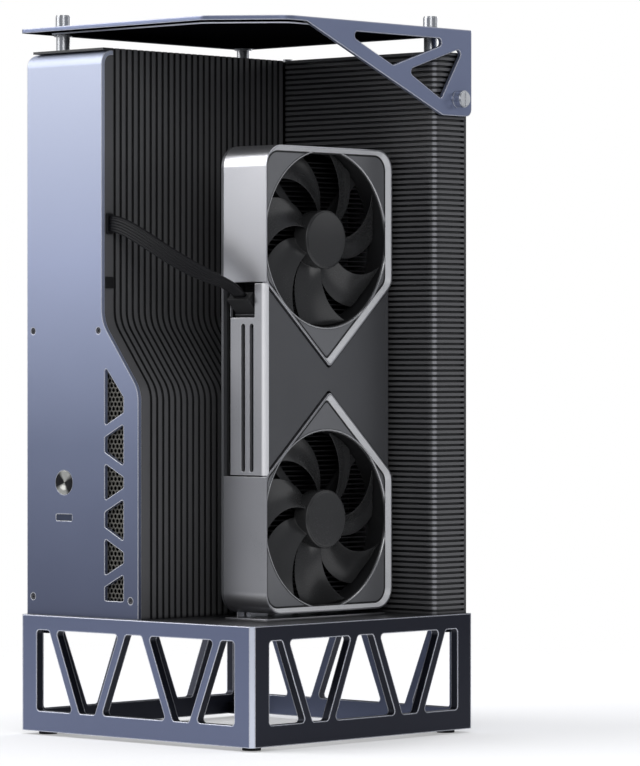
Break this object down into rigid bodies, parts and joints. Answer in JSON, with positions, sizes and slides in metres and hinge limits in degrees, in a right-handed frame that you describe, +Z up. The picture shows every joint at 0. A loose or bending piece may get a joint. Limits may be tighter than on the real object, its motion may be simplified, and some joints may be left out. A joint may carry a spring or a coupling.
{
  "type": "card expansion chassis",
  "caption": "Upright chassis with a power-supply tower and a dock tower on an open truss base, a two-fan expansion card between them and a clamped top plate.",
  "frame": {"origin": "on the floor under the middle of the whole chassis, thumbscrew included", "axes": "+Z up; the fascia with the power button faces -Y; the fans of the card face +X"},
  "size_m": [0.2192, 0.212, 0.4745],
  "materials": {
    "blue_frame": "anodised satin",
    "fascia_blue": "anodised satin, paler towards the top",
    "black_shell": "satin",
    "deck_black": "satin",
    "foot_rubber": "matt",
    "bright_steel": "polished",
    "dark_steel": "satin",
    "card_silver": "satin",
    "card_dark": "satin",
    "fin_metal": "satin",
    "fan_plastic": "satin",
    "black_plastic": "matt",
    "board_green": "satin",
    "lens": "gloss",
    "brass": "satin",
    "lead_skin": "matt"
  },
  "bodies": {
    "chassis": {"base_front_panel": "blue_frame", "base_rear_panel": "blue_frame", "base_left_panel": "blue_frame", "base_right_panel": "blue_frame", "base_corners": "blue_frame", "rubber_feet": "foot_rubber", "base_deck": "deck_black", "deck_screws": "dark_steel", "front_fascia": "fascia_blue", "fascia_screws": "bright_steel", "vent_mesh": "dark_steel", "switch_board": "board_green", "status_light": "lens", "left_shell": "black_shell", "ribbed_side_cover": "black_shell", "power_tower_cap": "black_shell", "power_rear_panel": "black_shell", "psu_case": "black_shell", "psu_fan_guard": "bright_steel", "power_inlet": "black_plastic", "psu_screws": "dark_steel", "lead_grommet": "foot_rubber", "spare_outlet_plug": "foot_rubber", "power_lead": "lead_skin", "lead_plug": "black_plastic", "dock_front_cover": "black_shell", "dock_rear_panel": "black_shell", "dock_tower_cap": "black_shell", "main_board": "board_green", "card_slot": "black_plastic", "chip_heatsink": "fin_metal", "rear_ports": "bright_steel", "board_standoffs": "brass", "tower_tie_bolt": "bright_steel", "card_backplate": "card_dark", "card_board": "board_green", "card_fin_stack": "fin_metal", "card_fan_duct": "fan_plastic", "card_fan_mounts": "fan_plastic", "card_upper_cap": "card_silver", "card_lower_cap": "card_silver", "card_side_rail": "card_silver", "card_slot_rail": "card_dark", "card_centre_face": "card_dark", "card_corner_inlays": "card_dark", "card_bracket": "bright_steel", "display_ports": "bright_steel", "card_socket": "black_plastic", "top_plate": "blue_frame", "plate_posts": "bright_steel", "plate_screws": "bright_steel"},
    "upper_rotor": {"upper_fan": "fan_plastic"},
    "lower_rotor": {"lower_fan": "fan_plastic"},
    "supply_rotor": {"psu_fan": "fan_plastic"},
    "button": {"power_button": "bright_steel"},
    "rocker": {"power_rocker": "black_plastic"},
    "latch": {"slot_latch": "black_plastic"},
    "washer": {"thumb_washer": "bright_steel"},
    "screw": {"thumbscrew": "bright_steel"}
  },
  "joints": [
    {"name": "upper_fan_spin", "type": "hinge", "parent": "chassis", "child": "upper_rotor", "pos_m": [0.0564, 0.0045, 0.3254], "axis": [1, 0, 0], "continuous": true},
    {"name": "lower_fan_spin", "type": "hinge", "parent": "chassis", "child": "lower_rotor", "pos_m": [0.0564, 0.0045, 0.143], "axis": [1, 0, 0], "continuous": true},
    {"name": "supply_fan_spin", "type": "hinge", "parent": "chassis", "child": "supply_rotor", "pos_m": [-0.0876, 0.0217, 0.1539], "axis": [1, 0, 0], "continuous": true},
    {"name": "button_press", "type": "slide", "parent": "chassis", "child": "button", "axis": [0, 1, 0], "range_m": [0, 0.0015], "stiffness_N_per_m": 400},
    {"name": "rocker_tilt", "type": "hinge", "parent": "chassis", "child": "rocker", "pos_m": [-0.0576, 0.0978, 0.1999], "axis": [0, 0, -1], "range_deg": [0, 14]},
    {"name": "latch_lift", "type": "hinge", "parent": "chassis", "child": "latch", "pos_m": [0.0297, 0.0816, 0.2269], "axis": [-1, 0, 0], "range_deg": [0, 30]},
    {"name": "washer_slide", "type": "slide", "parent": "chassis", "child": "washer", "axis": [1, 0, 0], "range_m": [0, 0.0022]},
    {"name": "thumbscrew_turn", "type": "hinge", "parent": "washer", "child": "screw", "pos_m": [0.1064, 0.09, 0.419], "axis": [1, 0, 0], "range_deg": [0, 1080]}
  ],
  "couplings": [
    {"joint": "washer_slide", "follows": "thumbscrew_turn", "m_per_rad": 0.00011141}
  ]
}
